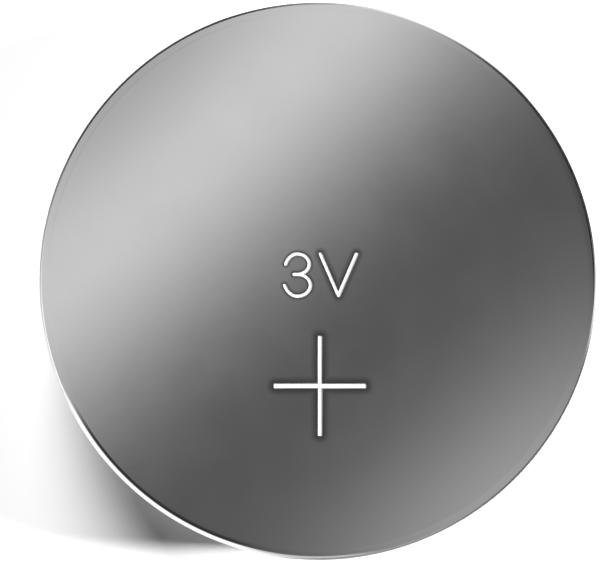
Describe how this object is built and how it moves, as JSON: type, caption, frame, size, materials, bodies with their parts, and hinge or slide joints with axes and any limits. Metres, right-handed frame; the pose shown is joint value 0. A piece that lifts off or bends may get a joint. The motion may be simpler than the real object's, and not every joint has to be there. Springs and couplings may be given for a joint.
{
  "type": "lithium coin cell",
  "caption": "Flat round coin cell: a drawn positive can crimped over a plastic gasket onto a stepped negative cap, with ring, pellet, separator and lithium disc inside.",
  "frame": {"origin": "centre of the negative contact face, on which the cell lies", "axes": "+Z along the cell's axis, out of the positive face; X and Y in the plane of the faces, with +Y up the marks on the positive face"},
  "size_m": [0.02, 0.02, 0.0032],
  "materials": {
    "can_steel": "smooth satin nickel plate",
    "cap_steel": "satin, faintly grained",
    "gasket_plastic": "moulded, milky",
    "ring_steel": "thin rolled sheet",
    "cathode_mix": "pressed powder, matt",
    "separator_fleece": "non-woven, matt",
    "lithium_foil": "soft rolled foil, dull"
  },
  "bodies": {
    "root": {"positive_can": "can_steel", "negative_cap": "cap_steel", "gasket": "gasket_plastic", "cathode_ring": "ring_steel", "cathode_pellet": "cathode_mix", "separator": "separator_fleece", "lithium_anode": "lithium_foil"}
  },
  "joints": []
}
